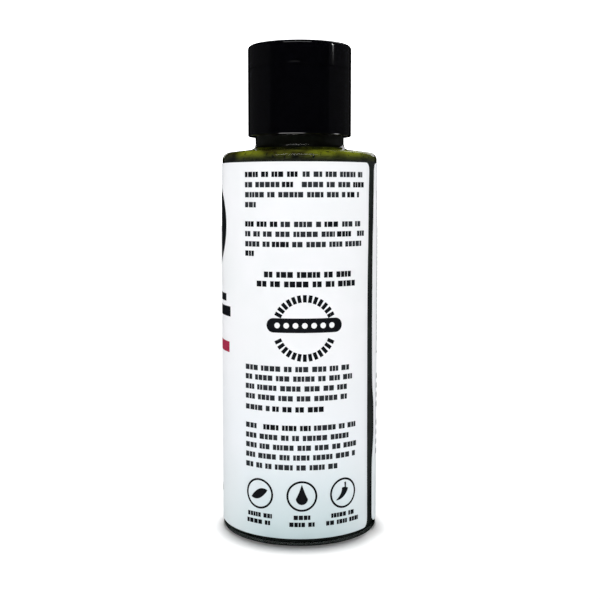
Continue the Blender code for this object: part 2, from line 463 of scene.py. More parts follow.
lid_bottom = seam_z + SEAM_HALF_GAP
lid_profile = [(0.0, CAP_TOP)]
lid_profile += arc(CAP_RADIUS - CAP_TOP_EDGE, CAP_TOP - CAP_TOP_EDGE, CAP_TOP_EDGE, 90, 0)
lid_profile += arc(CAP_RADIUS - SEAM_EDGE, lid_bottom + SEAM_EDGE, SEAM_EDGE, 0, -90, 4)
lid_profile += [(0.0, lid_bottom)]

base_top = seam_z - SEAM_HALF_GAP
rim_z = CAP_BOTTOM + RIM_EDGE
base_profile = [(0.0, base_top)]
base_profile += arc(CAP_RADIUS - SEAM_EDGE, base_top - SEAM_EDGE, SEAM_EDGE, 90, 0, 4)
base_profile += [(CAP_RADIUS, rim_z), (SKIRT_BORE, rim_z)]
base_profile += [(SKIRT_BORE, DECK_HEIGHT), (0.0, DECK_HEIGHT)]

rim_profile = arc(CAP_RADIUS - RIM_EDGE, rim_z, RIM_EDGE, 0, -90)
rim_profile += arc(SKIRT_BORE + RIM_EDGE, rim_z, RIM_EDGE, 270, 180)
rim_profile += [rim_profile[0]]
print("seam at", round(seam_z / MM, 2), "mm")

# %% [markdown]
# ### Cutting the thumb scoop and the hinge slots
#
# A Boolean takes a flattened ball out of the lid's lower edge, and two boxes out of the back. The
# strap that is left between the slots is a small box of its own, joined to the base. A far larger
# box at the same place takes half of the rim away, once at the back and once in front.

# %% Cutters
THUMB_AZIMUTH = math.radians(-4.5)
HINGE_AZIMUTH = THUMB_AZIMUTH + math.pi
THUMB_SIZE = (3.2 * MM, 0.9 * MM, 1.8 * MM)
HINGE_WIDTH = 5.0 * MM
SLOT_SIZE = (3.0 * MM, 2.0 * MM, 5.0 * MM)
STRAP_DEPTH = 1.6 * MM
STRAP_HEIGHT = 4.4 * MM
STRAP_SET_BACK = 0.12 * MM
HINGE_EDGE = 0.25 * MM
HALF_SIZE = (60.0 * MM, 40.0 * MM, 60.0 * MM)


def around(azimuth, radius, height):
    """The point at an azimuth and a distance from the bottle's axis."""
    return Vector((radius * math.sin(azimuth), -radius * math.cos(azimuth), height))


def ball_cutter(size, azimuth, height):
    """A flattened ball on the cap's wall."""
    bm = bmesh.new()
    bmesh.ops.create_uvsphere(bm, u_segments=48, v_segments=24, radius=1.0)
    bmesh.ops.scale(bm, vec=size, verts=bm.verts)
    cutter = object_from("scoop", bm)
    cutter.location = around(azimuth, CAP_RADIUS, height)
    cutter.rotation_euler.z = azimuth
    return cutter


def box_at_hinge(name, size, sideways, radius):
    """A soft-edged box at the seam's height, towards the back, or the front if radius is below 0."""
    bm = bmesh.new()
    bmesh.ops.create_cube(bm, size=1.0)
    bmesh.ops.scale(bm, vec=size, verts=bm.verts)
    bmesh.ops.bevel(bm, geom=bm.edges, offset=HINGE_EDGE, segments=3, profile=0.5,
                    affect="EDGES")
    bmesh.ops.translate(bm, vec=(sideways, -radius, 0.0), verts=bm.verts)
    box = object_from(name, bm)
    box.location.z = seam_z
    box.rotation_euler.z = HINGE_AZIMUTH
    return box


def cut(obj, cutters):
    """Takes the cutters' shapes out of a piece, and welds points that a cut leaves together."""
    for cutter in cutters:
        boolean = obj.modifiers.new(cutter.name, "BOOLEAN")
        boolean.operation = "DIFFERENCE"
        boolean.solver = "EXACT"
        boolean.object = cutter
    weld = obj.modifiers.new("Weld", "WELD")
    weld.merge_threshold = MERGE_DISTANCE


scoop = ball_cutter(THUMB_SIZE, THUMB_AZIMUTH, seam_z)
slot_side = (HINGE_WIDTH + SLOT_SIZE[0]) / 2
slots = [box_at_hinge("slot", SLOT_SIZE, side * slot_side, CAP_RADIUS) for side in (-1, 1)]
print("cutters:", [scoop.name] + [box.name for box in slots])

# %% [markdown]
# ### Black plastic
#
# Polished black plastic is dark in colour and sharp in gloss. A very faint ripple from the mould
# keeps its highlights from being ruler-straight.

# %% Make the cap
def black_plastic():
    """The cap's material."""
    material, tree, shader, place = new_material("black plastic")
    tone = noise(tree, place, 400.0)
    ripple = noise(tree, place, 120.0, 2.0)
    feed(tree, shader, {
        "Base Color": mix_colors(tree, tone, (0.0009, 0.0009, 0.0015), (0.0015, 0.0015, 0.0023)),
        "Roughness": remap(tree, tone, 0.3, 0.7, 0.055, 0.08),
        "Specular IOR Level": 0.5, "Normal": relief(tree, ripple, 0.05 * MM, 0.05)})
    return material


black = black_plastic()
lid = lathe("cap_lid", lid_profile)
cut(lid, [scoop] + slots)
lid = settle(lid, black)
cap_base = lathe("cap_base", base_profile)
cut(cap_base, slots)
cap_base = settle(cap_base, black)
for cutter in [scoop] + slots:
    bpy.data.objects.remove(cutter, do_unlink=True)


def rim_half(name, side):
    """Half the rim: the front one where side is 1, the back one where it is -1."""
    other_half = box_at_hinge("half", HALF_SIZE, 0.0, side * HALF_SIZE[1] / 2)
    rim = lathe(name, rim_profile)
    cut(rim, [other_half])
    rim = settle(rim, black)
    bpy.data.objects.remove(other_half, do_unlink=True)
    return rim


rim_front = rim_half("cap_rim_front", 1)
rim_back = rim_half("cap_rim_back", -1)
strap_size = (HINGE_WIDTH, STRAP_DEPTH, STRAP_HEIGHT)
strap_radius = CAP_RADIUS - STRAP_SET_BACK - STRAP_DEPTH / 2
strap = box_at_hinge("hinge_strap", strap_size, 0.0, strap_radius)
strap.data.transform(strap.matrix_basis)
strap.location.z = 0.0
strap.rotation_euler.z = 0.0
strap = settle(strap, black)
for piece in (lid, cap_base, rim_front, rim_back, strap):
    wear(piece, "cap")

# %% [markdown]
# ## Bending flat things round the bottle
#
# Label and print are designed flat and then bent. On the flat sheet X runs along the label, Z up,
# and Y into the bottle. This small node group does the bending, and every tree below uses it.

# %% Node group that bends a flat design
def new_tree(name, sockets):
    """A geometry tree with its geometry in and out and more named inputs."""
    tree = bpy.data.node_groups.new(name, "GeometryNodeTree")
    tree.is_modifier = True
    add = tree.interface.new_socket
    add(name="Geometry", in_out="OUTPUT", socket_type="NodeSocketGeometry")
    for socket_name, kind in [("Geometry", "Geometry")] + sockets:
        add(name=socket_name, in_out="INPUT", socket_type="NodeSocket" + kind)
    return tree, tree.nodes.new("NodeGroupInput"), tree.nodes.new("NodeGroupOutput")


def named(tree, name):
    """Reads a number that was stored on each point under a name."""
    node = add_node(tree, "GeometryNodeInputNamedAttribute", {"Name": name}, data_type="FLOAT")
    return node.outputs["Attribute"]


def flat_place(tree):
    """The X, Y and Z of each point."""
    return split(tree, tree.nodes.new("GeometryNodeInputPosition").outputs[0])


bend_tree, bend_in, bend_out = new_tree("bend round bottle", [("Radius", "Float")])
bend_radius = bend_in.outputs["Radius"]
flat = flat_place(bend_tree)
turn = math_node(bend_tree, "DIVIDE", flat["X"], bend_radius)
reach = math_node(bend_tree, "SUBTRACT", bend_radius, flat["Y"])
sideways = math_node(bend_tree, "MULTIPLY", reach, math_node(bend_tree, "SINE", turn))
forward = math_node(bend_tree, "MULTIPLY", reach, math_node(bend_tree, "COSINE", turn))
bent = combine(bend_tree, sideways, math_node(bend_tree, "MULTIPLY", forward, -1.0), flat["Z"])
moved = add_node(bend_tree, "GeometryNodeSetPosition",
                 {"Geometry": bend_in.outputs["Geometry"], "Position": bent})
bend_tree.links.new(moved.outputs[0], bend_out.inputs[0])
print("bend group has", len(bend_tree.nodes), "nodes")


def bend_and_finish(tree, geometry, radius, material, out):
    """Bends the geometry, makes it real and gives it its material."""
    group = add_node(tree, "GeometryNodeGroup", {"Geometry": geometry, "Radius": radius},
                     node_tree=bend_tree)
    real = add_node(tree, "GeometryNodeRealizeInstances", {0: group.outputs[0]})
    paint = add_node(tree, "GeometryNodeSetMaterial",
                     {"Geometry": real.outputs[0], "Material": material})
    tree.links.new(paint.outputs[0], out.inputs[0])


def apply_tree(obj, tree, values):
    """Runs a tree on an object with the given inputs, and settles the result."""
    modifier = obj.modifiers.new(tree.name, "NODES")
    modifier.node_group = tree
    for item in tree.interface.items_tree:
        if item.in_out == "INPUT" and item.name in values:
            modifier[item.identifier] = values[item.name]
    return settle(obj)


# %% [markdown]
# ## The label
#
# The label is a strip of coated paper that goes almost all the way round. Its ends don't meet:
# between them a narrow band of bottle shows. Its corners are round, and its ends waver a little, as
# on a label that was cut and stuck on quickly. The strip follows a rule, so a node tree makes it: a
# grid whose columns crowd together at the ends, where the corners need them.

# %% Node tree for the label
END_AZIMUTH = math.radians(60.5)
START_AZIMUTH = math.radians(69.5)
INK = 0.06 * MM
PAPER_RADIUS = LABEL_RADIUS - 0.08 * MM
PAPER_THICKNESS = PAPER_RADIUS - BODY_RADIUS - 0.02 * MM
LABEL_CORNER = 2.6 * MM
COLUMNS = 300
ROWS = 60
CROWDING = 0.92
# Each wave is a list of (share of the label's height, shift along the label in millimetres).
TEXT_END_WAVE = ((0.0, -0.4), (0.4, -0.85), (0.65, -0.9), (0.8, -0.55), (0.92, -0.35), (1.0, 0.0))
FAR_END_WAVE = ((0.0, -0.2), (0.15, -0.45), (0.27, 1.4), (0.35, 0.8), (0.42, -0.5), (0.66, -0.85),
                (0.85, -0.25), (1.0, 0.4))
WAVE_REACH = 9.0 * MM
SINK_REACH = 2.5 * MM
SINK_SHARE = 0.75


def wave(tree, share, points):
    """A smooth curve through a few points, in metres."""
    curve = tree.nodes.new("ShaderNodeFloatCurve")
    mapping = curve.mapping
    mapping.use_clip = False
    line = mapping.curves[0]
    for x, y in points[1:-1]:
        line.points.new(x, y)
    line.points[0].location = points[0]
    line.points[-1].location = points[-1]
    mapping.update()
    tree.links.new(share, curve.inputs["Value"])
    return math_node(tree, "MULTIPLY", curve.outputs[0], MM)


label_tree, label_in, label_out = new_tree("label strip", [
    ("Length", "Float"), ("Start", "Float"), ("Bottom", "Float"), ("Height", "Float"),
    ("Corner", "Float"), ("Radius", "Float"), ("Thickness", "Float"), ("Paper", "Material")])
sheet_length, sheet_height = label_in.outputs["Length"], label_in.outputs["Height"]
sheet_bottom, corner_size = label_in.outputs["Bottom"], label_in.outputs["Corner"]


def label_math(operation, *values):
    """One sum in the label's tree."""
    return math_node(label_tree, operation, *values)


grid = add_node(label_tree, "GeometryNodeMeshGrid", {
    "Size X": 1.0, "Size Y": 1.0, "Vertices X": COLUMNS + 1, "Vertices Y": ROWS + 1})
unit = flat_place(label_tree)
share_x = label_math("ADD", unit["X"], 0.5)
share_z = label_math("ADD", unit["Y"], 0.5)
ease = label_math("SINE", label_math("MULTIPLY", share_x, math.tau))
ease = label_math("MULTIPLY", ease, CROWDING / math.tau)
along = label_math("MULTIPLY", label_math("SUBTRACT", share_x, ease), sheet_length)
from_end = label_math("SUBTRACT", sheet_length, along)
to_end = label_math("MINIMUM", along, from_end)
missing = label_math("MAXIMUM", label_math("SUBTRACT", corner_size, to_end), 0.0)
squares = label_math("SUBTRACT", label_math("POWER", corner_size, 2.0),
                     label_math("POWER", missing, 2.0))
kept = label_math("SQRT", label_math("MAXIMUM", squares, 0.0))
inset = label_math("SUBTRACT", corner_size, kept)
print("label tree has", len(label_tree.nodes), "nodes so far")

# %% [markdown]
# The height of each column shrinks by the corner's inset, and both ends waver. The last few
# millimetres of a stuck label also lie tighter, so the front sinks there. An attribute called
# sink remembers by how much, so that the back, which the extrusion makes, can be put right.

# %% Shape of the sheet
half_height = label_math("MULTIPLY", sheet_height, 0.5)
middle = label_math("ADD", sheet_bottom, half_height)
tall = label_math("SUBTRACT", half_height, inset)
from_middle = label_math("MULTIPLY", label_math("SUBTRACT", share_z, 0.5), 2.0)
sheet_z = label_math("ADD", middle, label_math("MULTIPLY", from_middle, tall))
up_share = label_math("DIVIDE", label_math("SUBTRACT", sheet_z, sheet_bottom), sheet_height)


def nearness(distance, reach):
    """One at the end of the label, zero from a distance on."""
    share = label_math("DIVIDE", distance, reach)
    return label_math("MAXIMUM", label_math("SUBTRACT", 1.0, share), 0.0)


start_shift = label_math("MULTIPLY", nearness(along, WAVE_REACH),
                         wave(label_tree, up_share, FAR_END_WAVE))
end_shift = label_math("MULTIPLY", nearness(from_end, WAVE_REACH),
                       wave(label_tree, up_share, TEXT_END_WAVE))
sheet_x = label_math("ADD", along, label_in.outputs["Start"])
sheet_x = label_math("ADD", sheet_x, label_math("ADD", start_shift, end_shift))
sink = label_math("POWER", nearness(to_end, SINK_REACH), 2.0)
sink = label_math("MULTIPLY", sink, label_in.outputs["Thickness"])
sink = label_math("MULTIPLY", sink, SINK_SHARE)
remember = add_node(label_tree, "GeometryNodeStoreNamedAttribute",
                    {"Geometry": grid.outputs["Mesh"], "Name": "sink", "Value": sink},
                    data_type="FLOAT", domain="POINT")
laid = combine(label_tree, sheet_x, sink, sheet_z)
lay = add_node(label_tree, "GeometryNodeSetPosition",
               {"Geometry": remember.outputs[0], "Position": laid})
print("label tree has", len(label_tree.nodes), "nodes so far")

# %% [markdown]
# The sheet gets its thickness from an extrusion. The extruded part is the back, so it is flipped,
# joined to the front and welded, and then everything is bent round the bottle.

# %% Finish the label's tree
backwards = combine(label_tree, 0.0, label_in.outputs["Thickness"], 0.0)
thicken = add_node(label_tree, "GeometryNodeExtrudeMesh", {
    "Mesh": lay.outputs[0], "Offset": backwards, "Offset Scale": 1.0, "Individual": False})
unsink = label_math("MULTIPLY", named(label_tree, "sink"), -1.0)
flat_back = add_node(label_tree, "GeometryNodeSetPosition", {
    "Geometry": thicken.outputs["Mesh"], "Selection": thicken.outputs["Top"],
    "Offset": combine(label_tree, 0.0, unsink, 0.0)})
back = add_node(label_tree, "GeometryNodeFlipFaces", {"Mesh": flat_back.outputs[0]})
whole = add_node(label_tree, "GeometryNodeJoinGeometry", {0: back.outputs[0]})
label_tree.links.new(lay.outputs[0], whole.inputs[0])
weld = add_node(label_tree, "GeometryNodeMergeByDistance",
                {"Geometry": whole.outputs[0], "Distance": MERGE_DISTANCE})
bend_and_finish(label_tree, weld.outputs[0], label_in.outputs["Radius"],
                label_in.outputs["Paper"], label_out)
print("label tree has", len(label_tree.nodes), "nodes")

# %% [markdown]
# ### Coated paper
#
# The paper is a smooth cool white. Towards its foot it is painted slightly grey-green, as painted
# shade where less light reaches it, and less so towards the sides. Faint fibres and a soft mottle
# keep it from being a flat colour.

# %% Make the label
# Painted shade: the paper is painted grey-green towards its foot, up to these heights, and less so
# towards the sides.
FOOT_HEIGHT = 30.0 * MM
UNSHADED_FROM, UNSHADED_TO = 20.0 * MM, 60.0 * MM
SIDE_FROM, SIDE_TO = 10.0 * MM, 26.0 * MM


def coated_paper():
    """The label's material, with painted shade at its foot that fades towards the sides."""
    material, tree, shader, place = new_material("coated paper")
    across, _, up = split(tree, place)
    mottle = remap(tree, noise(tree, place, 60.0, 2.0), 0.3, 0.7)
    fibres = noise(tree, place, 1500.0, 2.0)
    white = mix_colors(tree, mottle, (0.835, 0.855, 0.87), (0.875, 0.88, 0.905))
    low_share = remap(tree, up, 0.0, FOOT_HEIGHT)
    # Painted shade: the grey-green of the foot, where less light reaches the paper.
    foot = mix_colors(tree, low_share, (0.50, 0.62, 0.635), (0.79, 0.83, 0.87))
    aside = math_node(tree, "ABSOLUTE", across)
    near_side = remap(tree, aside, SIDE_FROM, SIDE_TO, 0.0, 0.6)
    unshaded = math_node(tree, "MAXIMUM", remap(tree, up, UNSHADED_FROM, UNSHADED_TO), near_side)
    feed(tree, shader, {
        "Base Color": mix_colors(tree, unshaded, foot, white),
        "Roughness": remap(tree, fibres, 0.3, 0.7, 0.42, 0.52),
        "Specular IOR Level": 0.3, "Normal": relief(tree, fibres, 0.01 * MM, 0.3)})
    return material


sheet_span = math.tau - (START_AZIMUTH - END_AZIMUTH)
label_seed = add_object("label_sheet", bpy.data.meshes.new("label_sheet"))
label = apply_tree(label_seed, label_tree, {
    "Length": sheet_span * PAPER_RADIUS, "Start": (START_AZIMUTH - math.tau) * PAPER_RADIUS,
    "Bottom": LABEL_BOTTOM, "Height": LABEL_TOP - LABEL_BOTTOM, "Corner": LABEL_CORNER,
    "Radius": PAPER_RADIUS, "Thickness": PAPER_THICKNESS, "Paper": coated_paper()})
wear(label, "label")

# %% [markdown]
# ## The print
#
# Small print covers a label like this one. Here it becomes rows of plain blocks, as in a rough page
# layout: the grey of a paragraph and the pitch of its lines are right, and nothing can be read.
# Each block is a point with a width, a height and a turn, and one node tree puts a thin slab of ink
# on every point and bends them all.

# %% Node tree for blocks of ink
block_tree, block_in, block_out = new_tree("ink blocks", [
    ("Radius", "Float"), ("Thickness", "Float"), ("Pieces along", "Int"), ("Ink", "Material")])
slab = add_node(block_tree, "GeometryNodeMeshCube", {
    "Size": (1.0, 1.0, 1.0), "Vertices X": block_in.outputs["Pieces along"]})
block_turn = combine(block_tree, 0.0, named(block_tree, "turn"), 0.0)
turned = add_node(block_tree, "FunctionNodeEulerToRotation", {0: block_turn})
block_size = combine(block_tree, named(block_tree, "width"), block_in.outputs["Thickness"],
                     named(block_tree, "height"))
stamp = add_node(block_tree, "GeometryNodeInstanceOnPoints", {
    "Points": block_in.outputs["Geometry"], "Instance": slab.outputs["Mesh"],
    "Rotation": turned.outputs[0], "Scale": block_size})
spread = add_node(block_tree, "GeometryNodeRealizeInstances", {0: stamp.outputs[0]})
bend_and_finish(block_tree, spread.outputs[0], block_in.outputs["Radius"],
                block_in.outputs["Ink"], block_out)
print("block tree has", len(block_tree.nodes), "nodes")

# %% [markdown]
# ### Inks
#
# Printing ink is a thin, slightly soft film. The black leans to blue, the fine print is a little
# lighter than the bold, because thin strokes let paper through, and one front line is crimson.

# %% Inks and how a block is laid down
OVERPRINT = 0.3 * INK


def ink(name, dark, light, roughness=0.45):
    """A print colour that varies a little from dark to light."""
    material, tree, shader, place = new_material(name)
    patchy = noise(tree, place, 700.0)
    feed(tree, shader, {
        "Base Color": mix_colors(tree, patchy, dark, light),
        "Roughness": remap(tree, patchy, 0.3, 0.7, roughness, roughness + 0.1),
        "Specular IOR Level": 0.1})
    return material


black_ink = ink("black ink", (0.003, 0.004, 0.006), (0.008, 0.009, 0.012))
fine_ink = ink("fine print ink", (0.018, 0.021, 0.025), (0.03, 0.034, 0.04))
crimson_ink = ink("crimson ink", (0.32, 0.012, 0.045), (0.42, 0.02, 0.07))
green_ink = ink("green ink", (0.05, 0.13, 0.02), (0.09, 0.20, 0.03))
white_ink = ink("white ink", (0.80, 0.82, 0.83), (0.88, 0.90, 0.91), 0.5)


def print_blocks(name, blocks, material, pieces_along=2, lift=0.0):
    """Ink slabs from (x, z, width, height, turn), lifted off the paper."""
    mesh = bpy.data.meshes.new(name)
    mesh.from_pydata([(b[0], -lift, b[1]) for b in blocks], [], [])
    for column, attribute in ((2, "width"), (3, "height"), (4, "turn")):
        values = mesh.attributes.new(attribute, "FLOAT", "POINT")
        values.data.foreach_set("value", [b[column] for b in blocks])
    return wear(apply_tree(add_object(name, mesh), block_tree, {
        "Radius": PAPER_RADIUS, "Thickness": INK, "Pieces along": pieces_along,
        "Ink": material}))


print("inks:", [material.name for material in bpy.data.materials if "ink" in material.name])

# %% [markdown]
# ### The ingredients panel
#
# A line of print becomes a run of words, and a word a few plain blocks of uneven width and one
# height. A bold stretch is darker. The numbers are drawn from one seeded source, so the page is the
# same each time.

# %% Rows of greeked words
draw = random.Random(7)
BLOCK_HEIGHT = 1.6 * MM
BLOCK_PITCHES = (1.0 * MM, 1.25 * MM, 1.5 * MM, 1.8 * MM)
WORD_SPACE = 0.9 * MM
BLOCK_FILL = 0.84


def words(left, z, right, scale=1.0, fill=BLOCK_FILL):
    """Words of blocks between two ends. fill is a block's share of its pitch."""
    blocks = []
    x = left
    while x + BLOCK_PITCHES[0] * scale < right:
        for _ in range(draw.randint(2, 5)):
            pitch = min(draw.choice(BLOCK_PITCHES) * scale, right - x)
            if pitch < BLOCK_PITCHES[0] * scale / 2:
                break
            blocks.append((x + pitch / 2, z, pitch * fill, BLOCK_HEIGHT * scale, 0.0))
            x += pitch
        x += WORD_SPACE * scale
    return blocks


# In millimetres, as are the rows below.
GAP_BEFORE_BOLD, GAP_AFTER_BOLD = 0.5, 0.8


def text_row(row, left):
    """Plain and bold blocks of a row (height, right end, bold stretches)."""
    z, right, bold_stretches = row
    plain, bold = [], []
    x = left
    for start, end in bold_stretches:
        plain += words(x, z * MM, (start - GAP_BEFORE_BOLD) * MM)
        bold += words(start * MM, z * MM, end * MM)
        x = (end + GAP_AFTER_BOLD) * MM
    plain += words(x, z * MM, right * MM)
    return plain, bold


# Each row is (height, right end, stretches of bold), in millimetres.
PANEL_LEFT = -17.8 * MM
PANEL_ROWS = (
    (111.0, 21.4, ((-17.8, 0.0),)),
    (108.0, 22.4, ((-5.3, -0.3), (17.2, 22.4))),
    (105.05, 19.9, ((14.9, 19.9),)),
    (102.1, -13.5, ()),
    (96.4, 20.8, ((-17.8, -6.5), (7.3, 12.3))),
    (93.5, 22.4, ((11.3, 18.1),)),
    (90.5, 21.9, ((-8.4, -3.1),)),
    (87.7, -13.8, ((-17.8, -13.8),)),
    (53.6, 16.4, ()),
    (50.75, 17.2, ()),
    (47.8, 15.2, ()),
    (44.85, 16.7, ()),
    (41.55, 9.3, ((-8.4, 8.6),)),
    (35.95, 18.7, ((-11.3, 3.4),)),
    (32.95, 15.9, ()),
    (30.0, 19.9, ()),
    (27.05, 18.7, ()),
    (24.05, 13.2, ()),
)
# Each heading is (left end, height, right end), in millimetres.
PANEL_HEADINGS = ((-11.0, 81.6, 16.6), (-13.5, 78.8, 18.7))
HEADING_SCALE = 1.08
panel_plain, panel_bold = [], []
for row in PANEL_ROWS:
    plain, bold = text_row(row, PANEL_LEFT)
    panel_plain += plain
    panel_bold += bold
for left, z, right in PANEL_HEADINGS:
    panel_bold += words(left * MM, z * MM, right * MM, HEADING_SCALE)
print_blocks("panel_print", panel_plain, fine_ink)
print_blocks("panel_bold_print", panel_bold, black_ink)

# %% [markdown]
# ### Shapes that are no blocks
#
# A bar with round ends, a leaf or a chilli is a strip between two edges, given as pairs of points.
# It is built bent: every point goes straight to its place on the bottle.

# %% Flat shapes of ink
RING_STEPS = 72


def bend_point(x, z, lift):
    """Where a point of the flat sheet lies on the bottle."""
    return around(x / PAPER_RADIUS, PAPER_RADIUS + lift, z)


def ink_shape(name, pairs, material, lift=0.0, across=1):
    """A closed thin strip between two edges, given as pairs of points and bent in steps across."""
    bm = bmesh.new()
    front, back = [], []
    for depth, rows in ((lift + INK / 2, front), (lift - INK / 2, back)):
        for (x0, z0), (x1, z1) in pairs:
            shares = [step / across for step in range(across + 1)]
            rows.append([bm.verts.new(bend_point(x0 + (x1 - x0) * t, z0 + (z1 - z0) * t, depth))
                         for t in shares])
    last = len(pairs) - 1
    for i in range(last):
        for k in range(across):
            bm.faces.new((front[i][k], front[i + 1][k], front[i + 1][k + 1], front[i][k + 1]))
            bm.faces.new((back[i][k], back[i][k + 1], back[i + 1][k + 1], back[i + 1][k]))
        for k in (0, across):
            bm.faces.new((front[i][k], front[i + 1][k], back[i + 1][k], back[i][k]))
    for i in (0, last):
        for k in range(across):
            bm.faces.new((front[i][k], front[i][k + 1], back[i][k + 1], back[i][k]))
    bmesh.ops.remove_doubles(bm, verts=bm.verts, dist=MERGE_DISTANCE)
    return finish_ink(name, bm, material)


def finish_ink(name, bm, material):
    """Turns the faces outwards and adds the shape to the label."""
    bmesh.ops.recalc_face_normals(bm, faces=bm.faces)
    piece = object_from(name, bm)
    piece.data.materials.append(material)
    print(name, "has", len(piece.data.polygons), "faces")
    return wear(piece)


def ring_of_ink(name, x, z, radius, line, material):
    """A closed flat ring round a point of the label."""
    bm = bmesh.new()
    loops = []
    for size, depth in ((radius, -INK / 2), (radius, INK / 2),
                        (radius - line, INK / 2), (radius - line, -INK / 2)):
        loop = []
        for step in range(RING_STEPS):
            angle = math.tau * step / RING_STEPS
            point = bend_point(x + size * math.cos(angle), z + size * math.sin(angle), depth)
            loop.append(bm.verts.new(point))
        loops.append(loop)
    for first, second in zip(loops, loops[1:] + loops[:1]):
        for i in range(RING_STEPS):
            j = (i + 1) % RING_STEPS
            bm.faces.new((first[i], first[j], second[j], second[i]))
    return finish_ink(name, bm, material)


def upright(x, low, high):
    """A pair of points one above the other."""
    return (x, low), (x, high)


def pill_pairs(x, z, length, height, steps=40):
    """A bar with half-round ends, or a dot where it is as long as it is high."""
    end = height / 2
    pairs = []
    for step in range(steps + 1):
        at = -math.cos(math.pi * step / steps) * length / 2
        past = max(abs(at) - (length / 2 - end), 0.0)
        half = math.sqrt(max(end**2 - past**2, 0.0))
        pairs.append(upright(x + at, z - half, z + half))
    return pairs


print("a round bar takes", len(pill_pairs(0.0, 0.0, 1.0, 0.5)), "pairs of points")

# %% [markdown]
# ### The badge
#
# Below the middle sits a round badge: a black bar with a row of light dots, inside a ring of short
# dashes. The dashes stand on a circle, except where they would meet the bar.

# %% Print the badge
BADGE_X = 1.55 * MM
BADGE_Z = 65.8 * MM
BAR_Z = 66.6 * MM
BAR_SIZE = (23.2 * MM, 4.3 * MM)
DOTS = 7
DOT_PITCH = 2.75 * MM
DOT_SIZE = 1.7 * MM
DASHES = 34
DASH_RADIUS = 8.8 * MM
DASH_SIZE = (1.1 * MM, 2.2 * MM)
DASH_CLEARANCE = 3.6 * MM
ink_shape("badge_bar", pill_pairs(BADGE_X, BAR_Z, *BAR_SIZE), black_ink)
for dot in range(DOTS):
    dot_x = BADGE_X + (dot - (DOTS - 1) / 2) * DOT_PITCH
    ink_shape(f"badge_dot_{dot + 1}", pill_pairs(dot_x, BAR_Z, DOT_SIZE, DOT_SIZE, 12), white_ink,
              OVERPRINT)
badge_ring = []
for dash in range(DASHES):
    angle = math.tau * (dash + 0.5) / DASHES
    aside, up = DASH_RADIUS * math.cos(angle), DASH_RADIUS * math.sin(angle)
    if abs(up) >= DASH_CLEARANCE:
        badge_ring.append((BADGE_X + aside, BADGE_Z + up, *DASH_SIZE, math.pi / 2 - angle))
print_blocks("badge_ring", badge_ring, black_ink)

# %% [markdown]
# ### The ringed signs
#
# Under the paragraphs stand three rings, each with a simple sign. A leaf is two bows, a drop is a
# circle with a point, and a chilli is a bent body that tapers to a tip, with a stem.

# %% Shapes of the signs
SIGN_STEPS = 24
LEAF_FULLNESS = 0.8
LEAF_TILT = 0.45
DROP_POINT, DROP_SHARPNESS, DROP_CROWN = 2.3, 1.35, 0.15
STEM_SHARE = 0.30
CALYX_SHARE = 0.05
STEM_HALF, STEM_FLARE, CALYX_HALF, BODY_HALF = 0.10, 0.15, 0.42, 0.5
CHILLI_START = math.radians(-8)
CHILLI_BEND = 0.85


def leaf_pairs(x, z, length, height):
    """A leaf that points up to the right."""
    pairs = []
    for step in range(SIGN_STEPS + 1):
        share = step / SIGN_STEPS
        half = height / 2 * math.sin(math.pi * share) ** LEAF_FULLNESS
        tilt = (share - 0.5) * length * LEAF_TILT
        pairs.append(upright(x + (share - 0.5) * length, z + tilt - half, z + tilt + half))
    return pairs


def drop_pairs(x, z, radius):
    """A round drop with its point on top."""
    pairs = []
    for step in range(SIGN_STEPS + 1):
        angle = math.pi * step / SIGN_STEPS
        at = -math.cos(angle)
        point = DROP_POINT * (1 - abs(at)) ** DROP_SHARPNESS
        high = z + radius * (point + DROP_CROWN * math.sin(angle))
        pairs.append(upright(x + radius * at, z - radius * math.sin(angle), high))
    return pairs


def chilli_half(share):
    """Half the width of a chilli at a share of its body. The stem has shares below zero."""
    if share < 0:
        return STEM_HALF - STEM_FLARE * share
    if share < CALYX_SHARE:
        return CALYX_HALF
    return BODY_HALF * (1.0 - share) ** 0.75 * min(0.75 + 3.0 * share, 1.0)


def chilli_pairs(x, z, length, width):
    """A chilli on an arc, from its stem at the upper right down to its tip at the lower left."""
    arc_radius = length * CHILLI_BEND
    middle = CHILLI_START - 0.35 * length / arc_radius
    hub_x = x - arc_radius * math.cos(middle)
    hub_z = z - arc_radius * math.sin(middle)
    pairs = []
    for step in range(2 * SIGN_STEPS + 1):
        share = -STEM_SHARE + (1.0 + STEM_SHARE) * step / (2 * SIGN_STEPS)
        angle = CHILLI_START - share * length / arc_radius
        half = width * chilli_half(share)
        pairs.append([(hub_x + size * math.cos(angle), hub_z + size * math.sin(angle))
                      for size in (arc_radius - half, arc_radius + half)])
    return pairs


print("a chilli takes", len(chilli_pairs(0.0, 0.0, 1.0, 0.3)), "pairs of points")

# %% Print the signs
RING_Z = 15.4 * MM
RING_RADIUS = 4.65 * MM
RING_LINE = 0.62 * MM
RING_PLACES = (-12.7 * MM, 0.7 * MM, 14.0 * MM)
LEAF_SIZE = (5.6 * MM, 2.9 * MM)
DROP_Z = RING_Z - 0.8 * MM
DROP_RADIUS = 1.8 * MM
SIGN_CHILLI_SIZE = (5.2 * MM, 2.4 * MM)
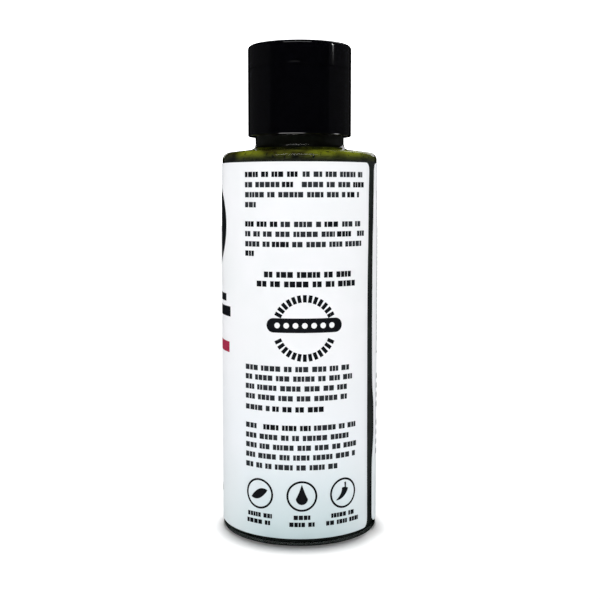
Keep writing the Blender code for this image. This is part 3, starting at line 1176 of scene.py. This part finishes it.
# Two lines of caption under each ring, their heights and their half lengths in millimetres.
CAPTION_HEIGHTS = (8.9, 6.75)
CAPTION_HALVES = ((4.3, 4.6), (2.6, 3.9), (4.3, 6.0))
CAPTION_SCALE = 0.85
for kind, x in zip(("leaf", "drop", "chilli"), RING_PLACES):
    ring_of_ink("ring_" + kind, x, RING_Z, RING_RADIUS, RING_LINE, black_ink)
ink_shape("sign_leaf", leaf_pairs(RING_PLACES[0], RING_Z, *LEAF_SIZE), black_ink)
ink_shape("sign_drop", drop_pairs(RING_PLACES[1], DROP_Z, DROP_RADIUS), black_ink)
ink_shape("sign_chilli", chilli_pairs(RING_PLACES[2], RING_Z, *SIGN_CHILLI_SIZE), black_ink,
          across=4)
captions = []
for x, halves in zip(RING_PLACES, CAPTION_HALVES):
    for half, z in zip(halves, CAPTION_HEIGHTS):
        captions += words(x - half * MM, z * MM, x + half * MM, CAPTION_SCALE)
print_blocks("ring_captions", captions, black_ink)

# %% [markdown]
# ### The front panel
#
# The front faces away to the left of the camera. It gets a plain design in black, crimson and
# green: a black round-ended field with a white chilli, bold bars below it, and one large green
# chilli. A wide slanting shape is bent in several steps across as well, or its middle would sink
# into the paper.

# %% Print the front panel
FRONT_AZIMUTH = math.radians(-110.5)
FRONT_X = FRONT_AZIMUTH * PAPER_RADIUS
EMBLEM_Z = 95.9 * MM
EMBLEM_SIZE = (38.0 * MM, 27.2 * MM)
EMBLEM_LINE = (24.0 * MM, 0.6 * MM)
EMBLEM_LINE_RISE = 10.8 * MM
# Each chilli is (height on the label, length, width).
EMBLEM_CHILLI = (96.0 * MM, 15.0 * MM, 5.0 * MM)
FRONT_CHILLI = (36.0 * MM, 30.0 * MM, 8.5 * MM)
# Each row of bars is (height on the label, height of a bar, (left, right) of each bar), in
# millimetres.
BLACK_BARS = (
    (73.6, 2.3, ((-18.0, -9.5), (-8.0, 4.0), (5.5, 18.6))),
    (69.4, 3.1, ((-20.6, -6.0), (-4.2, 21.8))),
    (12.0, 1.9, ((-12.0, -2.0), (-0.8, 12.0))),
)
CRIMSON_BARS = ((58.4, 3.3, ((-20.0, -11.0), (-9.2, 5.0), (6.8, 21.0))),)
BAR_PIECES = 24


def bars(rows):
    """Blocks for rows of bars, placed from the middle of the front."""
    return [(FRONT_X + (left + right) / 2 * MM, z * MM, (right - left) * MM, height * MM, 0.0)
            for z, height, spans in rows for left, right in spans]


emblem_lines = [(FRONT_X, EMBLEM_Z + side * EMBLEM_LINE_RISE, *EMBLEM_LINE, 0.0)
                for side in (-1, 1)]
ink_shape("front_emblem", pill_pairs(FRONT_X, EMBLEM_Z, *EMBLEM_SIZE), black_ink)
print_blocks("emblem_lines", emblem_lines, white_ink, BAR_PIECES, OVERPRINT)
ink_shape("emblem_chilli", chilli_pairs(FRONT_X, *EMBLEM_CHILLI), white_ink, OVERPRINT, across=8)
ink_shape("front_chilli", chilli_pairs(FRONT_X, *FRONT_CHILLI), green_ink, across=12)
print_blocks("front_bars", bars(BLACK_BARS), black_ink, BAR_PIECES)
print_blocks("front_crimson_bars", bars(CRIMSON_BARS), crimson_ink, BAR_PIECES)

# %% [markdown]
# ### The facts panel
#
# Past the gap stands a table of facts: a thin frame with a heading, ruled lines and rows of
# blocks, and a paragraph below it. Its left line just shows from the camera.

# %% Print the facts panel
FACTS_AZIMUTH = math.radians(79.0)
FACTS_LEFT = FACTS_AZIMUTH * PAPER_RADIUS
FACTS_WIDTH = 40.0 * MM
FACTS_BOTTOM = 55.6 * MM
FACTS_TOP = 106.1 * MM
RULE, THIN_RULE = 0.3 * MM, 0.18 * MM
RULE_PIECES = 32
RULE_MARGIN = 1.5 * MM
RULE_RISE = 1.7 * MM
WORDS_LEFT = FACTS_LEFT + 2.0 * MM
HEAD_Z, HEAD_RIGHT, HEAD_SCALE = 102.6 * MM, FACTS_LEFT + 30.0 * MM, 1.4
ROW_COUNT, FIRST_ROW_Z, ROW_PITCH = 12, 97.2 * MM, 3.4 * MM
# The names end at a drawn place between these two lengths, in millimetres.
NAME_LENGTHS = (14, 24)
AMOUNT_LEFT, AMOUNT_RIGHT = FACTS_LEFT + 34.0 * MM, FACTS_LEFT + 38.0 * MM
FACTS_SCALE, FACTS_FILL = 0.95, 0.8
PARAGRAPH_TOP, LINE_PITCH = 48.0 * MM, 3.0 * MM
LINE_LENGTHS = (39, 36, 38, 22, 0, 38, 39, 35, 12)


def frame_rules(left, bottom, width, height, line):
    """The four sides of a frame as blocks."""
    x, z = left + width / 2, bottom + height / 2
    level = [(x, edge, width + line, line, 0.0) for edge in (bottom, bottom + height)]
    return level + [(edge, z, line, height - line, 0.0) for edge in (left, left + width)]


rules = frame_rules(FACTS_LEFT, FACTS_BOTTOM, FACTS_WIDTH, FACTS_TOP - FACTS_BOTTOM, RULE)
facts_print = words(WORDS_LEFT, HEAD_Z, HEAD_RIGHT, HEAD_SCALE)
for row in range(ROW_COUNT):
    z = FIRST_ROW_Z - row * ROW_PITCH
    rules.append((FACTS_LEFT + FACTS_WIDTH / 2, z + RULE_RISE, FACTS_WIDTH - 2 * RULE_MARGIN,
                  THIN_RULE, 0.0))
    name_right = FACTS_LEFT + draw.uniform(*NAME_LENGTHS) * MM
    facts_print += words(WORDS_LEFT, z, name_right, FACTS_SCALE, FACTS_FILL)
    facts_print += words(AMOUNT_LEFT, z, AMOUNT_RIGHT, FACTS_SCALE, FACTS_FILL)
print_blocks("facts_rules", rules, black_ink, RULE_PIECES)
for line, length in enumerate(LINE_LENGTHS):
    facts_print += words(FACTS_LEFT, PARAGRAPH_TOP - line * LINE_PITCH, FACTS_LEFT + length * MM)
print_blocks("facts_print", facts_print, fine_ink)

# %% [markdown]
# ## Floor and light
#
# The bottle stands on white, with a short soft shadow at its foot, and the room in front of it is
# dark, which is why the black cap mirrors almost nothing. The floor is plain and pale. A sun from
# almost straight above makes the short shadow, a low bright horizon lights the label evenly, and
# a few cards and narrow lamps, which only reflections see, draw the cap's highlights.

# %% Build the floor
FLOOR_SIZE = 6.0
floor_bm = bmesh.new()
bmesh.ops.create_grid(floor_bm, x_segments=1, y_segments=1, size=FLOOR_SIZE / 2)
floor = object_from("floor", floor_bm)
floor_material, floor_tree, floor_shader, _ = new_material("pale floor")
feed(floor_tree, floor_shader, {
    "Base Color": (0.9, 0.9, 0.9, 1.0), "Roughness": 0.9, "Specular IOR Level": 0.0})
floor.data.materials.append(floor_material)
floor.visible_glossy = False
print("floor is", FLOOR_SIZE, "m wide")

# %% Build the world
# The sky shines below a certain height, more in front than behind, and more from the left.
SKY_DARK_FROM, SKY_FULL_TO = 0.34, 0.24
SKY_FRONT, SKY_BACK = 3.3, 2.45
SKY_LEFT, SKY_RIGHT = 1.05, 0.93
world = bpy.data.worlds.new("studio")
bpy.context.scene.world = world
world.use_nodes = True
sky = world.node_tree
background = sky.nodes["Background"]
way = split(sky, sky.nodes.new("ShaderNodeTexCoord").outputs["Generated"])
horizon = remap(sky, way["Z"], SKY_DARK_FROM, SKY_FULL_TO)
depth_share = remap(sky, way["Y"], -1.0, 0.2, SKY_FRONT, SKY_BACK)
side_share = remap(sky, way["X"], -1.0, 1.0, SKY_LEFT, SKY_RIGHT)
horizon = math_node(sky, "MULTIPLY", math_node(sky, "MULTIPLY", horizon, depth_share), side_share)
seen = sky.nodes.new("ShaderNodeLightPath").outputs["Is Camera Ray"]
strength = math_node(sky, "MAXIMUM", horizon, seen)
feed(sky, background, {"Color": (1.0, 1.0, 1.0, 1.0), "Strength": strength})
world.cycles_visibility.glossy = False
world.cycles_visibility.transmission = False
print("world has", len(sky.nodes), "nodes")

# %% Lamp helpers
def area_lamp(name, place, target, size, power):
    """A rectangular lamp that faces a point."""
    data = bpy.data.lights.new(name, "AREA")
    data.shape = "RECTANGLE"
    data.size, data.size_y = size
    data.energy = power
    lamp = add_object(name, data)
    lamp.location = place
    lamp.rotation_euler = (Vector(target) - Vector(place)).to_track_quat("-Z", "Y").to_euler()
    return lamp


def reach_only(lamp, pieces):
    """Light linking: the lamp lights these pieces and nothing else."""
    group = bpy.data.collections.new(lamp.name + " reach")
    for piece in pieces:
        group.objects.link(piece)
    lamp.light_linking.receiver_collection = group


def round_cap(azimuth_deg, distance, height):
    """A place for a lamp, given by its azimuth from the front."""
    return around(math.radians(azimuth_deg), distance, height)


print("a lamp straight in front stands at", tuple(round_cap(0, 1.0, 0.0)))

# %% [markdown]
# The table has a softbox above on either side, narrow lamps and low cards that draw the highlights
# of the lid and the rim, two large cards at the sides, and two lamps behind that put light into the
# shoulder. Most lamps light one to three pieces only.

# %% Place the lamps
CAP_MIDDLE = (0.0, 0.0, 0.14)
SHOULDER_MIDDLE = (0.0, 0.0, 0.117)
CARD_SIZE = (1.3, 0.8)
CARD_POWER = 0.13
# Each lamp is (name, place, target, size, watts, the pieces that it lights, all of them if none).
LAMPS = (
    ("softbox", (-0.06, -0.55, 0.75), CAP_MIDDLE, (0.8, 0.25), 1.3, [lid, bottle]),
    ("back_softbox", (0.1, 0.55, 0.75), CAP_MIDDLE, (0.8, 0.25), 1.3, [lid, cap_base, strap]),
    ("streak", round_cap(78, 0.9, 0.375), CAP_MIDDLE, (0.04, 0.18), 0.7, [lid]),
    ("rim_card", round_cap(-18, 0.15, 0.06), CAP_MIDDLE, (0.16, 0.11), 0.42, [rim_front]),
    ("rim_spot", round_cap(88, 0.15, 0.06), CAP_MIDDLE, (0.04, 0.11), 0.12, [rim_front]),
    ("scoop_card", round_cap(0, 0.2, 0.03), CAP_MIDDLE, (0.2, 0.1), 0.012, [lid]),
    ("left_card", round_cap(-106, 0.8, 0.15), CAP_MIDDLE, CARD_SIZE, CARD_POWER, []),
    ("right_card", round_cap(106, 0.8, 0.15), CAP_MIDDLE, CARD_SIZE, CARD_POWER, []),
    ("back_right", (0.35, 0.9, 0.62), SHOULDER_MIDDLE, (0.5, 0.65), 1.2, [bottle]),
    ("back_left", (-0.27, 0.9, 0.30), SHOULDER_MIDDLE, (0.3, 0.2), 0.13, [bottle]),
)
for *lamp_values, pieces in LAMPS:
    lamp = area_lamp(*lamp_values)
    lamp.visible_camera = False
    lamp.visible_diffuse = False
    if pieces:
        reach_only(lamp, pieces)
print("lamps:", [name for name, *_ in LAMPS])

# %% Place the sun
SUN_POWER = 3.0
SUN_WIDTH = math.radians(4.2)
SUN_TILT = math.radians(-2.3)
sun_data = bpy.data.lights.new("sun", "SUN")
sun_data.energy = SUN_POWER
sun_data.angle = SUN_WIDTH
sun = add_object("sun", sun_data)
sun.rotation_euler = (SUN_TILT, 0.0, 0.0)
sun.visible_glossy = False
sun.visible_transmission = False
bpy.context.scene.view_settings.view_transform = "Standard"
print("sun of", SUN_POWER, "watts a square metre")
